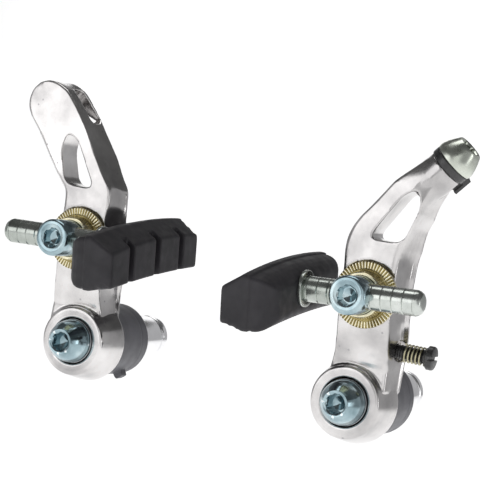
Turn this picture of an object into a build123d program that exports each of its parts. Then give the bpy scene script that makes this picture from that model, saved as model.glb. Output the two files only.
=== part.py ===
from build123d import *
import math
import os

# A pair of cantilever rim-brake arms. mm, +X to the right, +Y to the rear, +Z up.
# The origin is midway between the two pivots, on the rear faces of the anchor plates.

# Pivots
PIVOT_X = 43.44
BOSS_R = 10.0
BOSS_FRONT = -29.0
BOSS_CHAMFER = 0.6
BOSS_TAPER = 35
FLARE_REAR = -18.6
FLARE_R = 12.3
WAIST_R = 9.4
WAIST_CLEAR = 0.3
BOSS_REAR = -14.0
HUB_R = 6.0
HUB_REAR = -11.5
SINK_R = 6.9
SINK_DEPTH = 1.5
BUSH_R = 5.0
JOURNAL_R = 4.0
RUNNING = 0.05
STUD_R = 6.74
STUD_LENGTH = 20.3
STUD_GROOVE = 15.6
STUD_GROOVE_WIDTH = 1.1
STUD_GROOVE_DEPTH = 0.7
M6_R = 3.0
THREAD_GAP = 0.02
JOURNAL_FRONT = BOSS_FRONT + SINK_DEPTH - 0.1
PLATE_T = 1.0
PLATE_R = 10.2
SPRING_HOLE_R = 0.95
WASHER_R = 6.55
WASHER_T = 1.2
HEAD_R = 6.35
HEAD_FRONT = -35.7
HEAD_RIM_R = 3.9
SOCKET_AF = 5.0
SOCKET_DEPTH = 3.4
BOLT_REACH = -12.5
STUD_CHAMFER = 1.0
DRILL_R = 1.9
DRILL_DEPTH = 0.8
DRILL_TAPER = 55

# Return springs and their covers
WIRE_R = 0.7
COIL_R = 7.1
COIL_START = -11.2
COIL_PITCH = 1.75
COIL_TURNS = 4.5
COVER_R = 10.8
SKIRT_GAP = 0.1
COVER_WALL = 1.3
COVER_FRONT_T = 1.9
COVER_GAP = 0.15
LUG_X = 4.8
LUG_WIDTH = 3.4
LUG_TOP = 17.9
LUG_FRONT = -22.6
PLATE_HOLES = 3
LEG_ANGLE = -90
FRONT_LEG = 2.4
REAR_LEG_GAP = 0.2
LUG_HEIGHT = 4.9
TAB_Y = -7.0
TAB_PROUD = 2.2
TAB_WIDTH = 3.2
TAB_LENGTH = 3.0
TAB_ANGLE = -55
ELBOW = 1.04

# Arms: wheel-side and outer edges of the front face as (x, z) on the right-hand side
INNER_EDGE = [(36.4, 4.0), (37.5, 10.2), (38.2, 14.0), (38.4, 21.0), (38.2, 35.3), (37.7, 41.2), (38.2, 45.6)]
OUTER_EDGE = [(52.3, 43.0), (51.8, 36.8), (51.7, 29.0), (51.9, 21.6), (52.5, 14.0), (53.2, 4.4)]
RIGHT_INNER = [(39.9, 49.8), (42.9, 53.9), (46.4, 58.5), (51.1, 64.1), (56.4, 69.6)]
RIGHT_OUTER = [(61.9, 65.0), (58.9, 60.6), (56.5, 55.4), (54.2, 49.2)]
LEFT_INNER = [(40.6, 49.2), (44.2, 54.2), (50.3, 63.8), (56.6, 71.2)]
LEFT_OUTER = [(68.6, 63.8), (63.8, 58.1), (57.4, 49.6), (54.4, 46.0)]
RIGHT_TIP = (59.4, 67.6)
LEFT_TIP = (64.8, 74.4)
EDGE_ALLOWANCE = 0.5
FLARE = 3.9
FULL_FLARE_Z = 22.0
LOFT_FRONT = -33.0
LOFT_REAR = -14.5
FRONT_LINE = [(-27.9, 2.0), (-27.9, 14.0), (-30.0, 24.0), (-30.8, 36.0), (-31.0, 48.0), (-30.5, 60.0), (-30.0, 78.0)]
REAR_LINE = [(-20.4, 78.0), (-21.2, 60.0), (-22.0, 48.0), (-21.8, 36.0), (-20.6, 24.0), (-18.2, 14.0), (-15.6, 6.0), (-14.8, 2.0)]
WINDOW = [(43.2, 45.2), (53.4, 45.2), (57.2, 55.8), (55.6, 60.6), (51.4, 58.6)]
WINDOW_ROUND = 1.6

# Shoe clamp: everything that turns about the eye-bolt axis
EYE_X = 45.4
EYE_Z = 30.0
EYE_R = 5.25
EYE_FRONT = -46.1
EYE_REAR = -32.4
POST_Y = -39.0
POST_R = 3.5
SPOT_Y = -30.3
BEVEL_T = 0.8
BEVEL_R = 8.6
TOOTH_FACE = -32.25
TOOTH_R = 9.0
TOOTH_INNER_R = 7.0
TOOTH_DEPTH = 0.45
TOOTH_COUNT = 60
SADDLE_R = 6.7
SADDLE_FRONT = -36.6
ARM_REAR_SEAT = -22.0
REAR_SEAT_R = 6.6
EYE_CLEARANCE = 0.08
SPOT_R = 9.4
REAR_WASHER_T = 1.2
NUT_T = 5.0
NUT_AF = 10.0
EYE_TIP = -14.6
POST_HOLE_R = 3.55
EYE_SOCKET_DEPTH = 2.5
TOOTH_GAP = 0.4
LEFT_TILT = -2.0
RIGHT_TILT = -3.3

# Shoes
POST_OUTER_X = 64.5
POST_INNER_X = 26.2
POST_DOME = 1.6
RING_PITCH = 3.0
RING_DEPTH = 0.18
POST_RINGS = 12
POST_FIRST_RING = -16.0
PAD_FACE_X = 17.5
PAD_PARTING_X = 24.0
PAD_BULGE_X = 28.4
PAD_BACK_X = 32.4
PAD_FRONT = -60.5
PAD_REAR = -8.0
PAD_PITCH = 7.8
PAD_DROP = 1.0
PAD_SECTIONS = (
    (PAD_FACE_X, 3.0, -7.6, 0.8, 1.0), (PAD_PARTING_X, 6.9, -8.9, 0.0, 0.0),
    (PAD_BULGE_X, 6.2, -9.0, 0.0, 0.8), (PAD_BACK_X, 3.8, -6.8, 3.0, 4.6),
)
PAD_SAGITTA = 1.4
PAD_SHIFT = {-1: 0.0, 1: -1.9}
PAD_SLOTS = (-48.4, -33.5, -19.1)
PAD_SLOT_WIDTH = 3.0
PAD_SLOT_DEPTH = 3.2
PAD_SLOT_HEIGHT = 30.0
PLATE_LENGTH = 40.0
PLATE_HEIGHT = 8.0
PLATE_X = 26.2
INSERT_T = 1.4
COLLAR_R = 5.0
COLLAR_T = 1.1

# Cable anchor on the right arm, square to the arm's end
ANCHOR = (60.0, -25.4, 67.2)
ANCHOR_LEAN = 41.5
ANCHOR_NECK_R = 5.4
ANCHOR_WASHER_R = 5.75
ANCHOR_WASHER_T = 2.2
ANCHOR_HEAD_R = 5.9
ANCHOR_HEAD_T = 6.2
ANCHOR_RIM_R = 3.9
ANCHOR_SOCKET_DEPTH = 3.0
ANCHOR_DEPTH = 9.0
CLAW_T = 1.2
CLAW_WIDTH = 3.6
CLAW_REACH = 3.4
CLAW_ANGLE = 40
ANCHOR_NECK_LENGTH = 9.0
ANCHOR_NECK_TAPER = 8
NECK_TURNED = 4.4

# Spring-tension screw on the right arm, parallel to X
SCREW_Y = -21.0
SCREW_Z = 15.8
SCREW_R = 1.95
SCREW_SEAT_X = 55.2
SCREW_HEAD_X = 62.2
SCREW_HEAD_R = 3.3
SCREW_HEAD_T = 2.0
SCREW_SLOT = 1.1
SCREW_GAP = 0.1
SCREW_WASHER_T = 0.5
SCREW_SPRING_R = 2.35
SCREW_WIRE_R = 0.28
SCREW_TURNS = 5
SCREW_SPOT_R = 3.6
POCKET_X = 2.2
POCKET_Z = 14.9
POCKET_WIDTH = 9.2
POCKET_HEIGHT = 8.6
POCKET_FRONT = -23.4

# Straddle-cable seat on the left arm
HOOK_X = 53.4
HOOK_Y = -23.6
HOOK_Z = 69.2
HOOK_LEAN = 48.0
HOOK_LENGTH = 13.0
HOOK_WIDTH = 4.6
HOOK_DEPTH = 7.0


def rear_plane(x, y, z):
    """A sketch plane at (x, y, z) whose normal points forward, along -Y."""
    return Plane(origin=(x, y, z), x_dir=(1, 0, 0), z_dir=(0, -1, 0))


def side_plane(x, y, z):
    """A sketch plane at (x, y, z) whose normal points along +X."""
    return Plane(origin=(x, y, z), x_dir=(0, 1, 0), z_dir=(1, 0, 0))


def grown(points, distance):
    """Moves each point of an open line to the left of the way it runs, less so near the boss."""
    moved = []
    for i, (x, z) in enumerate(points):
        x0, z0 = points[max(i - 1, 0)]
        x1, z1 = points[min(i + 1, len(points) - 1)]
        step = distance * min(1.0, z / FULL_FLARE_Z) / math.hypot(x1 - x0, z1 - z0)
        moved.append((x - (z1 - z0) * step, z + (x1 - x0) * step))
    return moved


def arm_edges(side, distance):
    """The arm's wheel-side edge, tip and outer edge, grown by distance, on the given side."""
    upper = (RIGHT_INNER, RIGHT_OUTER, RIGHT_TIP) if side > 0 else (LEFT_INNER, LEFT_OUTER, LEFT_TIP)
    inner = [(side * x, z) for x, z in grown(INNER_EDGE + upper[0], distance)]
    outer = [(side * x, z) for x, z in grown(upper[1] + OUTER_EDGE, distance)]
    spread = distance / math.sqrt(2)
    tip = (side * (upper[2][0] + spread), upper[2][1] + spread)
    return inner, tip, outer


def build_arm(side):
    """One forged arm: flared web, pivot boss, window, eye-bolt hole and the side's own features."""
    anchor = Plane(Location(ANCHOR, (0, ANCHOR_LEAN, 0)))
    lean = math.radians(HOOK_LEAN)
    hook = Plane(
        origin=(-HOOK_X, HOOK_Y, HOOK_Z),
        x_dir=(-math.cos(lean), 0, math.sin(lean)),
        z_dir=(math.sin(lean), 0, math.cos(lean)),
    )
    with BuildPart() as arm:
        for y, distance in ((LOFT_REAR, EDGE_ALLOWANCE + FLARE), (LOFT_FRONT, EDGE_ALLOWANCE)):
            inner, tip, outer = arm_edges(side, distance)
            with BuildSketch(rear_plane(0, y, 0)):
                with BuildLine():
                    Spline(*inner)
                    ThreePointArc(inner[-1], tip, outer[0])
                    Spline(*outer)
                    Line(outer[-1], inner[0])
                make_face()
        loft(ruled=True)
        with BuildSketch(side_plane(0, 0, 0)):
            with BuildLine():
                front = Spline(*FRONT_LINE)
                Line(front @ 1, REAR_LINE[0])
                rear = Spline(*REAR_LINE)
                Line(rear @ 1, FRONT_LINE[0])
            make_face()
        extrude(amount=side * 2 * PIVOT_X, mode=Mode.INTERSECT)
        with BuildSketch(rear_plane(0, LOFT_REAR, 0)):
            Polygon(*[(side * x, z) for x, z in WINDOW], align=None)
            fillet(vertices(), WINDOW_ROUND)
        extrude(amount=LOFT_REAR - LOFT_FRONT, mode=Mode.SUBTRACT)
        with BuildSketch(rear_plane(side * PIVOT_X, HUB_REAR, 0)):
            Circle(COVER_R + WAIST_CLEAR)
        extrude(amount=HUB_REAR - FLARE_REAR, mode=Mode.SUBTRACT)
        with BuildSketch(rear_plane(side * PIVOT_X, BOSS_REAR, 0)):
            Circle(WAIST_R)
        extrude(amount=BOSS_REAR - FLARE_REAR)
        with BuildSketch(rear_plane(side * PIVOT_X, FLARE_REAR, 0)):
            Circle(FLARE_R)
        with BuildSketch(rear_plane(side * PIVOT_X, BOSS_FRONT + BOSS_CHAMFER, 0)):
            Circle(BOSS_R)
        loft(ruled=True)
        with BuildSketch(rear_plane(side * PIVOT_X, BOSS_FRONT + BOSS_CHAMFER, 0)):
            Circle(BOSS_R)
        extrude(amount=BOSS_CHAMFER, taper=BOSS_TAPER)
        with BuildSketch(rear_plane(side * PIVOT_X, HUB_REAR, 0)):
            Circle(HUB_R)
        extrude(amount=HUB_REAR - BOSS_REAR + 1)
        with BuildSketch(rear_plane(side * PIVOT_X, HUB_REAR, 0)):
            Circle(BUSH_R)
        extrude(amount=HUB_REAR - BOSS_FRONT, mode=Mode.SUBTRACT)
        with BuildSketch(rear_plane(side * PIVOT_X, BOSS_FRONT + SINK_DEPTH, 0)):
            Circle(SINK_R)
        extrude(amount=SINK_DEPTH, mode=Mode.SUBTRACT)
        with BuildSketch(rear_plane(side * EYE_X, LOFT_REAR, EYE_Z)):
            Circle(M6_R + EYE_CLEARANCE)
        extrude(amount=LOFT_REAR - LOFT_FRONT, mode=Mode.SUBTRACT)
        with BuildSketch(rear_plane(side * EYE_X, SPOT_Y, EYE_Z)):
            Circle(SPOT_R)
        extrude(amount=SPOT_Y - LOFT_FRONT, mode=Mode.SUBTRACT)
        with BuildSketch(rear_plane(side * EYE_X, LOFT_REAR, EYE_Z)):
            Circle(REAR_SEAT_R)
        extrude(amount=LOFT_REAR - ARM_REAR_SEAT, mode=Mode.SUBTRACT)
        if side > 0:
            with BuildSketch(anchor):
                Circle(ANCHOR_NECK_R)
            extrude(amount=-ANCHOR_NECK_LENGTH, taper=ANCHOR_NECK_TAPER)
            with BuildSketch(anchor):
                Circle(2 * ANCHOR_NECK_R)
            extrude(amount=ANCHOR_NECK_LENGTH, mode=Mode.SUBTRACT)
            with BuildSketch(anchor):
                Circle(2 * ANCHOR_NECK_R)
                Circle(ANCHOR_NECK_R, mode=Mode.SUBTRACT)
            extrude(amount=-NECK_TURNED, mode=Mode.SUBTRACT)
            with BuildSketch(anchor):
                Circle(M6_R + RUNNING)
            extrude(amount=-ANCHOR_DEPTH, mode=Mode.SUBTRACT)
            with BuildSketch(Plane.XZ.offset(-LOFT_REAR)):
                with Locations((PIVOT_X + POCKET_X, POCKET_Z)):
                    Rectangle(POCKET_WIDTH, POCKET_HEIGHT)
            extrude(amount=LOFT_REAR - POCKET_FRONT, mode=Mode.SUBTRACT)
            with BuildSketch(side_plane(PIVOT_X + POCKET_X, SCREW_Y, SCREW_Z)):
                Circle(SCREW_R + RUNNING)
            extrude(amount=2 * POCKET_WIDTH, mode=Mode.SUBTRACT)
            with BuildSketch(side_plane(SCREW_SEAT_X, SCREW_Y, SCREW_Z)):
                Circle(SCREW_SPOT_R)
            extrude(amount=POCKET_WIDTH, mode=Mode.SUBTRACT)
        else:
            with BuildSketch(hook):
                SlotOverall(HOOK_LENGTH, HOOK_WIDTH)
            extrude(amount=-HOOK_DEPTH, mode=Mode.SUBTRACT)
            with BuildSketch(hook):
                SlotOverall(HOOK_LENGTH, HOOK_WIDTH)
            extrude(amount=HOOK_DEPTH, mode=Mode.SUBTRACT)
    return arm.part


def turned(x, z, profile):
    """A piece turned about a line along Y through (x, z); the profile is (radius, y) points."""
    with BuildPart() as body:
        with BuildSketch(Plane.XY.offset(z)):
            Polygon(*[(x + r, y) for r, y in profile], align=None)
        revolve(axis=Axis((x, 0, z), (0, 1, 0)))
    return body.part


def turned_x(y, z, profile):
    """A piece turned about a line along X through (y, z); the profile is (x, radius) points."""
    with BuildPart() as body:
        with BuildSketch(Plane.XY.offset(z)):
            Polygon(*[(x, y + r) for x, r in profile], align=None)
        revolve(axis=Axis((0, y, z), (1, 0, 0)))
    return body.part


def ring(inner, outer, rear, front):
    """The profile of a plain ring between two y values."""
    return [(inner, rear), (outer, rear), (outer, front), (inner, front)]


def build_stud(x):
    """A frame pivot: plain journal, and a grooved spigot behind the anchor plate."""
    lip = STUD_GROOVE + STUD_GROOVE_WIDTH
    floor = STUD_R - STUD_GROOVE_DEPTH
    thread = M6_R + THREAD_GAP
    profile = [(thread, JOURNAL_FRONT), (JOURNAL_R, JOURNAL_FRONT), (JOURNAL_R, 0), (STUD_R, 0)]
    profile += [(STUD_R, STUD_GROOVE), (floor, STUD_GROOVE), (floor, lip), (STUD_R, lip)]
    profile += [(STUD_R, STUD_LENGTH - STUD_CHAMFER), (STUD_R - STUD_CHAMFER, STUD_LENGTH)]
    profile += [(0, STUD_LENGTH), (0, BOLT_REACH + 1), (thread, BOLT_REACH + 1)]
    return turned(x, 0, profile)


def build_anchor_plate(x):
    """The thin plate behind the spring, with three holes for the spring's rear leg."""
    with BuildPart() as plate:
        with BuildSketch(rear_plane(x, 0, 0)):
            Circle(PLATE_R)
            Circle(JOURNAL_R + THREAD_GAP, mode=Mode.SUBTRACT)
            with PolarLocations(COIL_R, PLATE_HOLES, start_angle=LEG_ANGLE):
                Circle(SPRING_HOLE_R, mode=Mode.SUBTRACT)
        extrude(amount=PLATE_T)
    return plate.part


def socket_cut(x, z, front, depth):
    """A hexagon socket with a drill point at its floor."""
    with BuildPart() as cut:
        with BuildSketch(rear_plane(x, front + depth, z)):
            RegularPolygon(SOCKET_AF / 2, 6, major_radius=False)
        extrude(amount=depth)
        with BuildSketch(rear_plane(x, front + depth, z)):
            Circle(DRILL_R)
        extrude(amount=-DRILL_DEPTH, taper=DRILL_TAPER)
    return cut.part


def build_pivot_bolt(x):
    """The pivot bolt: conical skirted head with a hexagon socket, and an M6 shank."""
    seat = JOURNAL_FRONT - WASHER_T
    profile = [(0, BOLT_REACH), (M6_R, BOLT_REACH), (M6_R, seat), (HEAD_R, seat), (HEAD_R, seat - 1.2)]
    profile += [(HEAD_R - 0.5, seat - 2.9), (HEAD_R - 1.5, seat - 5.1), (HEAD_RIM_R, HEAD_FRONT + 0.3)]
    profile += [(HEAD_RIM_R - 0.3, HEAD_FRONT), (0, HEAD_FRONT)]
    return turned(x, 0, profile) - socket_cut(x, 0, HEAD_FRONT, SOCKET_DEPTH)


def build_spring(x):
    """The return spring: a coil with one leg into the cover and one into the anchor plate."""
    with BuildPart() as spring:
        with BuildLine():
            coil = Helix(
                COIL_PITCH, COIL_PITCH * COIL_TURNS, COIL_R,
                center=(x, COIL_START, 0), direction=(0, 1, 0), lefthand=True,
            )
        with BuildSketch(Plane(coil @ 0, z_dir=coil % 0)):
            Circle(WIRE_R)
        sweep(is_frenet=True)
        first, last = coil @ 0, coil @ 1
        with BuildSketch(rear_plane(first.X, first.Y, first.Z)):
            Circle(WIRE_R)
        extrude(amount=FRONT_LEG)
        with BuildSketch(rear_plane(last.X, -REAR_LEG_GAP, last.Z)):
            Circle(WIRE_R)
        extrude(amount=-REAR_LEG_GAP - last.Y)
        with Locations(first, last):
            Sphere(WIRE_R * ELBOW)
    return spring.part


def build_cover(side):
    """The spring's plastic cover; the right one has a finger that the tension screw pushes."""
    x = side * PIVOT_X
    bore = HUB_R + RUNNING
    back_wall = BOSS_REAR + COVER_GAP + COVER_FRONT_T
    front = BOSS_REAR + COVER_GAP if side > 0 else BOSS_REAR
    with BuildPart() as cover:
        with BuildSketch(rear_plane(x, front, 0)):
            Circle(COVER_R)
            Circle(bore, mode=Mode.SUBTRACT)
        extrude(amount=front + PLATE_T + COVER_GAP)
        with BuildSketch(rear_plane(x, back_wall, 0)):
            Circle(COVER_R - COVER_WALL)
        extrude(amount=back_wall + PLATE_T + COVER_GAP, mode=Mode.SUBTRACT)
        with BuildSketch(rear_plane(x, front, 0)):
            Circle(COVER_R)
            Circle(WAIST_R + SKIRT_GAP, mode=Mode.SUBTRACT)
        extrude(amount=front - FLARE_REAR - COVER_GAP)
        with BuildSketch(rear_plane(x, back_wall, 0)):
            with Locations((0, COIL_R)):
                Circle(SPRING_HOLE_R)
        extrude(amount=back_wall - front, mode=Mode.SUBTRACT)
        if side > 0:
            with BuildSketch(rear_plane(x, back_wall, 0)):
                with Locations((LUG_X - LUG_WIDTH / 2, (LUG_TOP + HUB_R) / 2)):
                    Rectangle(LUG_WIDTH, LUG_TOP - HUB_R)
            extrude(amount=back_wall - front)
            with BuildSketch(rear_plane(x, back_wall, 0)):
                with Locations((LUG_X - LUG_WIDTH / 2, LUG_TOP - LUG_HEIGHT / 2)):
                    Rectangle(LUG_WIDTH, LUG_HEIGHT)
            extrude(amount=back_wall - LUG_FRONT)
        else:
            with BuildSketch(rear_plane(x, TAB_Y, 0)):
                with PolarLocations(COVER_R + TAB_PROUD / 2 - 1, 1, start_angle=TAB_ANGLE):
                    Rectangle(TAB_PROUD + 2, TAB_WIDTH)
            extrude(amount=TAB_LENGTH)
            with BuildSketch(rear_plane(x, TAB_Y, 0)):
                Circle(COVER_R - COVER_WALL)
            extrude(amount=TAB_LENGTH, mode=Mode.SUBTRACT)
    return cover.part


def build_eye_bolt():
    """The eye bolt about its own axis: a cross-drilled head and an M6 shank."""
    profile = [(0, EYE_TIP), (M6_R, EYE_TIP), (M6_R, EYE_REAR), (EYE_R, EYE_REAR)]
    profile += [(EYE_R, EYE_FRONT + 0.7), (EYE_R - 0.7, EYE_FRONT), (0, EYE_FRONT)]
    head = turned(0, 0, profile) - socket_cut(0, 0, EYE_FRONT, EYE_SOCKET_DEPTH)
    hole = turned_x(POST_Y, 0, [(-EYE_R - 1, 0), (-EYE_R - 1, POST_HOLE_R), (EYE_R + 1, POST_HOLE_R), (EYE_R + 1, 0)])
    return head - hole


def build_serrated_washer():
    """The toothed washer, with a saddle in the middle that the shoe post beds in."""
    floor = TOOTH_FACE + TOOTH_DEPTH
    rear = SPOT_Y - BEVEL_T
    bore = M6_R + RUNNING
    with BuildPart() as washer:
        with BuildSketch(Plane.XY):
            Polygon(
                (bore, rear), (TOOTH_R, rear), (TOOTH_R, TOOTH_FACE), (TOOTH_INNER_R, TOOTH_FACE),
                (TOOTH_INNER_R, floor), (SADDLE_R, floor), (SADDLE_R - 0.6, SADDLE_FRONT),
                (EYE_R + 0.1, SADDLE_FRONT), (EYE_R + 0.1, EYE_REAR + 0.3), (bore, EYE_REAR + 0.3),
                align=None,
            )
        revolve(axis=Axis.Y)
        with BuildSketch(rear_plane(0, TOOTH_FACE, 0)):
            with PolarLocations((TOOTH_R + TOOTH_INNER_R) / 2, TOOTH_COUNT):
                Rectangle(TOOTH_R - TOOTH_INNER_R + 0.4, TOOTH_GAP)
        extrude(amount=-TOOTH_DEPTH, mode=Mode.SUBTRACT)
        with BuildSketch(side_plane(-TOOTH_R, POST_Y, 0)):
            Circle(POST_HOLE_R)
        extrude(amount=2 * TOOTH_R, mode=Mode.SUBTRACT)
    return washer.part


def build_nut():
    """The hexagon nut behind the arm."""
    front = ARM_REAR_SEAT + REAR_WASHER_T
    with BuildPart() as nut:
        with BuildSketch(rear_plane(0, front + NUT_T, 0)):
            RegularPolygon(NUT_AF / 2, 6, major_radius=False)
            Circle(M6_R + THREAD_GAP, mode=Mode.SUBTRACT)
        extrude(amount=NUT_T)
    return nut.part


def build_post(side):
    """The shoe post about its own axis, with engraved rings and a domed outer end."""
    inner = PLATE_X - EYE_X + PAD_SHIFT[side]
    outer = POST_OUTER_X - EYE_X
    profile = [(inner, 0), (inner, POST_R)]
    for i in range(POST_RINGS):
        at = POST_FIRST_RING + i * RING_PITCH
        profile += [(at - RING_DEPTH, POST_R), (at, POST_R - RING_DEPTH), (at + RING_DEPTH, POST_R)]
    profile += [(outer - POST_DOME, POST_R), (outer - 0.4 * POST_DOME, POST_R - 0.4 * POST_DOME)]
    profile += [(outer, POST_R - 1.1 * POST_DOME), (outer, 0)]
    return turned_x(POST_Y, 0, [(side * x, r) for x, r in profile])


def build_pad(side):
    """The rubber shoe: arched, chamfered above its braking face, slotted across that face."""
    middle = (PAD_FRONT + PAD_REAR) / 2
    with BuildPart() as pad:
        for x, top, bottom, front_inset, rear_inset in PAD_SECTIONS:
            front = PAD_FRONT + front_inset
            rear = PAD_REAR - rear_inset
            end_top, end_bottom = top - PAD_SAGITTA, bottom - PAD_SAGITTA / 2
            with BuildSketch(side_plane(side * (x - EYE_X), 0, 0)):
                with BuildLine():
                    ThreePointArc((front, end_top), (middle, top), (rear, end_top))
                    Line((rear, end_top), (rear, end_bottom))
                    ThreePointArc((rear, end_bottom), (middle, bottom), (front, end_bottom))
                    Line((front, end_bottom), (front, end_top))
                make_face()
        loft(ruled=True)
        for y in PAD_SLOTS:
            with BuildSketch(side_plane(side * (PAD_FACE_X - EYE_X), y, 0)):
                Rectangle(PAD_SLOT_WIDTH, PAD_SLOT_HEIGHT)
            extrude(amount=side * PAD_SLOT_DEPTH, mode=Mode.SUBTRACT)
        with BuildSketch(side_plane(side * (PLATE_X - EYE_X), middle, -PAD_DROP)):
            Rectangle(PLATE_LENGTH, PLATE_HEIGHT)
        extrude(amount=side * INSERT_T, mode=Mode.SUBTRACT)
        with BuildSketch(side_plane(side * (PLATE_X - EYE_X), POST_Y, 0)):
            Circle(POST_HOLE_R)
        extrude(amount=side * (PAD_BACK_X - PLATE_X), mode=Mode.SUBTRACT)
    return pad.part


def build_insert(side):
    """The metal plate inside the shoe."""
    middle = (PAD_FRONT + PAD_REAR) / 2
    with BuildPart() as insert:
        with BuildSketch(side_plane(side * (PLATE_X - EYE_X), middle, -PAD_DROP)):
            Rectangle(PLATE_LENGTH, PLATE_HEIGHT)
        extrude(amount=side * INSERT_T)
        with BuildSketch(side_plane(side * (PLATE_X - EYE_X), POST_Y, 0)):
            Circle(POST_HOLE_R)
        extrude(amount=side * INSERT_T, mode=Mode.SUBTRACT)
    return insert.part


def build_collar(side):
    """The thin metal ring where the post enters the shoe."""
    rear = side * (PAD_BACK_X - EYE_X)
    front = side * (PAD_BACK_X + COLLAR_T - EYE_X)
    return turned_x(POST_Y, 0, [(rear, POST_HOLE_R), (rear, COLLAR_R), (front, COLLAR_R), (front, POST_HOLE_R)])


def build_anchor_washer():
    """The cable-anchor washer, with a claw that stops it turning."""
    with BuildPart() as washer:
        with BuildSketch(Plane.XY):
            Circle(ANCHOR_WASHER_R)
            Circle(M6_R + RUNNING, mode=Mode.SUBTRACT)
        extrude(amount=ANCHOR_WASHER_T)
        with BuildSketch(Plane.XY.offset(ANCHOR_WASHER_T)):
            with PolarLocations(ANCHOR_NECK_R + 0.15 + CLAW_T / 2, 1, start_angle=CLAW_ANGLE):
                Rectangle(CLAW_T, CLAW_WIDTH)
        extrude(amount=-ANCHOR_WASHER_T - CLAW_REACH)
    return Location(ANCHOR, (0, ANCHOR_LEAN, 0)) * washer.part


def build_anchor_bolt():
    """The cable-anchor bolt: conical head with a hexagon socket, and an M6 shank."""
    top = ANCHOR_WASHER_T + ANCHOR_HEAD_T
    shoulder = ANCHOR_HEAD_R - 0.5
    with BuildPart() as bolt:
        with BuildSketch(Plane.XZ):
            Polygon(
                (0, 1 - ANCHOR_DEPTH), (M6_R, 1 - ANCHOR_DEPTH), (M6_R, ANCHOR_WASHER_T),
                (ANCHOR_HEAD_R, ANCHOR_WASHER_T), (ANCHOR_HEAD_R, ANCHOR_WASHER_T + 1.3),
                (shoulder, ANCHOR_WASHER_T + 3.0), (ANCHOR_RIM_R, top - 0.3), (ANCHOR_RIM_R - 0.3, top), (0, top),
                align=None,
            )
        revolve(axis=Axis.Z)
        with BuildSketch(Plane.XY.offset(top)):
            RegularPolygon(SOCKET_AF / 2, 6, major_radius=False)
        extrude(amount=-ANCHOR_SOCKET_DEPTH, mode=Mode.SUBTRACT)
    return Location(ANCHOR, (0, ANCHOR_LEAN, 0)) * bolt.part


def build_tension_screw():
    """The slotted screw that sets the spring tension, with a rounded tip."""
    tip = PIVOT_X + LUG_X + SCREW_GAP
    end = SCREW_HEAD_X + SCREW_HEAD_T
    profile = [(tip, 0), (tip + 0.1, 0.7), (tip + 0.4, 1.3), (tip + 1.0, SCREW_R), (SCREW_HEAD_X, SCREW_R)]
    profile += [(SCREW_HEAD_X, SCREW_HEAD_R), (end - 0.3, SCREW_HEAD_R), (end, SCREW_HEAD_R - 0.3), (end, 0)]
    with BuildPart() as slot:
        with BuildSketch(side_plane(end, SCREW_Y, SCREW_Z)):
            Rectangle(2 * SCREW_HEAD_R + 1, SCREW_SLOT)
        extrude(amount=-SCREW_HEAD_T / 2)
    return turned_x(SCREW_Y, SCREW_Z, profile) - slot.part


def build_screw_washer():
    """The thin washer between the tension screw's head and its spring."""
    inner = SCREW_R + RUNNING
    rear = SCREW_HEAD_X - SCREW_WASHER_T
    outer = SCREW_SPRING_R + SCREW_WIRE_R
    profile = [(rear, inner), (rear, outer), (SCREW_HEAD_X, outer), (SCREW_HEAD_X, inner)]
    return turned_x(SCREW_Y, SCREW_Z, profile)


def build_screw_spring():
    """The small spring that keeps the tension screw from shaking loose."""
    start = SCREW_SEAT_X + SCREW_WIRE_R
    length = SCREW_HEAD_X - SCREW_WASHER_T - SCREW_WIRE_R - start
    with BuildPart() as spring:
        with BuildLine():
            coil = Helix(
                length / SCREW_TURNS, length, SCREW_SPRING_R,
                center=(start, SCREW_Y, SCREW_Z), direction=(1, 0, 0), lefthand=True,
            )
        with BuildSketch(Plane(coil @ 0, z_dir=coil % 0)):
            Circle(SCREW_WIRE_R)
        sweep(is_frenet=True)
    return spring.part


def clamp_place(side, part):
    """Moves a piece drawn about the eye bolt's own axis to its place, turned as it is clamped."""
    tilt = RIGHT_TILT if side > 0 else LEFT_TILT
    return Pos(side * EYE_X, 0, EYE_Z) * Rot(0, tilt, 0) * part


def shoe_place(side, part):
    """Pitches a piece of the shoe about its post, slides it in or out, then places it with the clamp."""
    pitched = Rot(PAD_PITCH, 0, 0) * Pos(0, -POST_Y, 0) * part
    return clamp_place(side, Pos(side * PAD_SHIFT[side], POST_Y, 0) * pitched)


def side_parts(side):
    """Every piece that both arms have."""
    x = side * PIVOT_X
    seat = JOURNAL_FRONT
    spring = build_spring(PIVOT_X)
    bevel_front = SPOT_Y - BEVEL_T
    bevel = [(M6_R + 0.12, SPOT_Y), (BEVEL_R, SPOT_Y), (BEVEL_R - 0.4, bevel_front), (M6_R + 0.12, bevel_front)]
    return {
        "arm": build_arm(side),
        "bush": turned(x, 0, ring(JOURNAL_R + RUNNING, BUSH_R, HUB_REAR, BOSS_FRONT + SINK_DEPTH)),
        "pivot_stud": build_stud(x),
        "anchor_plate": build_anchor_plate(x),
        "thrust_washer": turned(x, 0, ring(M6_R + THREAD_GAP, WASHER_R, seat, seat - WASHER_T)),
        "pivot_bolt": build_pivot_bolt(x),
        "return_spring": spring if side > 0 else mirror(spring, about=Plane.YZ),
        "spring_cover": build_cover(side),
        "bevel_washer": turned(side * EYE_X, EYE_Z, bevel),
        "eye_bolt": clamp_place(side, build_eye_bolt()),
        "serrated_washer": clamp_place(side, build_serrated_washer()),
        "rear_washer": clamp_place(side, turned(0, 0, ring(
            M6_R + THREAD_GAP, REAR_SEAT_R - 0.5, ARM_REAR_SEAT + REAR_WASHER_T, ARM_REAR_SEAT))),
        "clamp_nut": clamp_place(side, build_nut()),
        "shoe_post": clamp_place(side, build_post(side)),
        "pad": shoe_place(side, build_pad(side)),
        "pad_insert": shoe_place(side, build_insert(side)),
        "pad_collar": shoe_place(side, build_collar(side)),
    }


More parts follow.
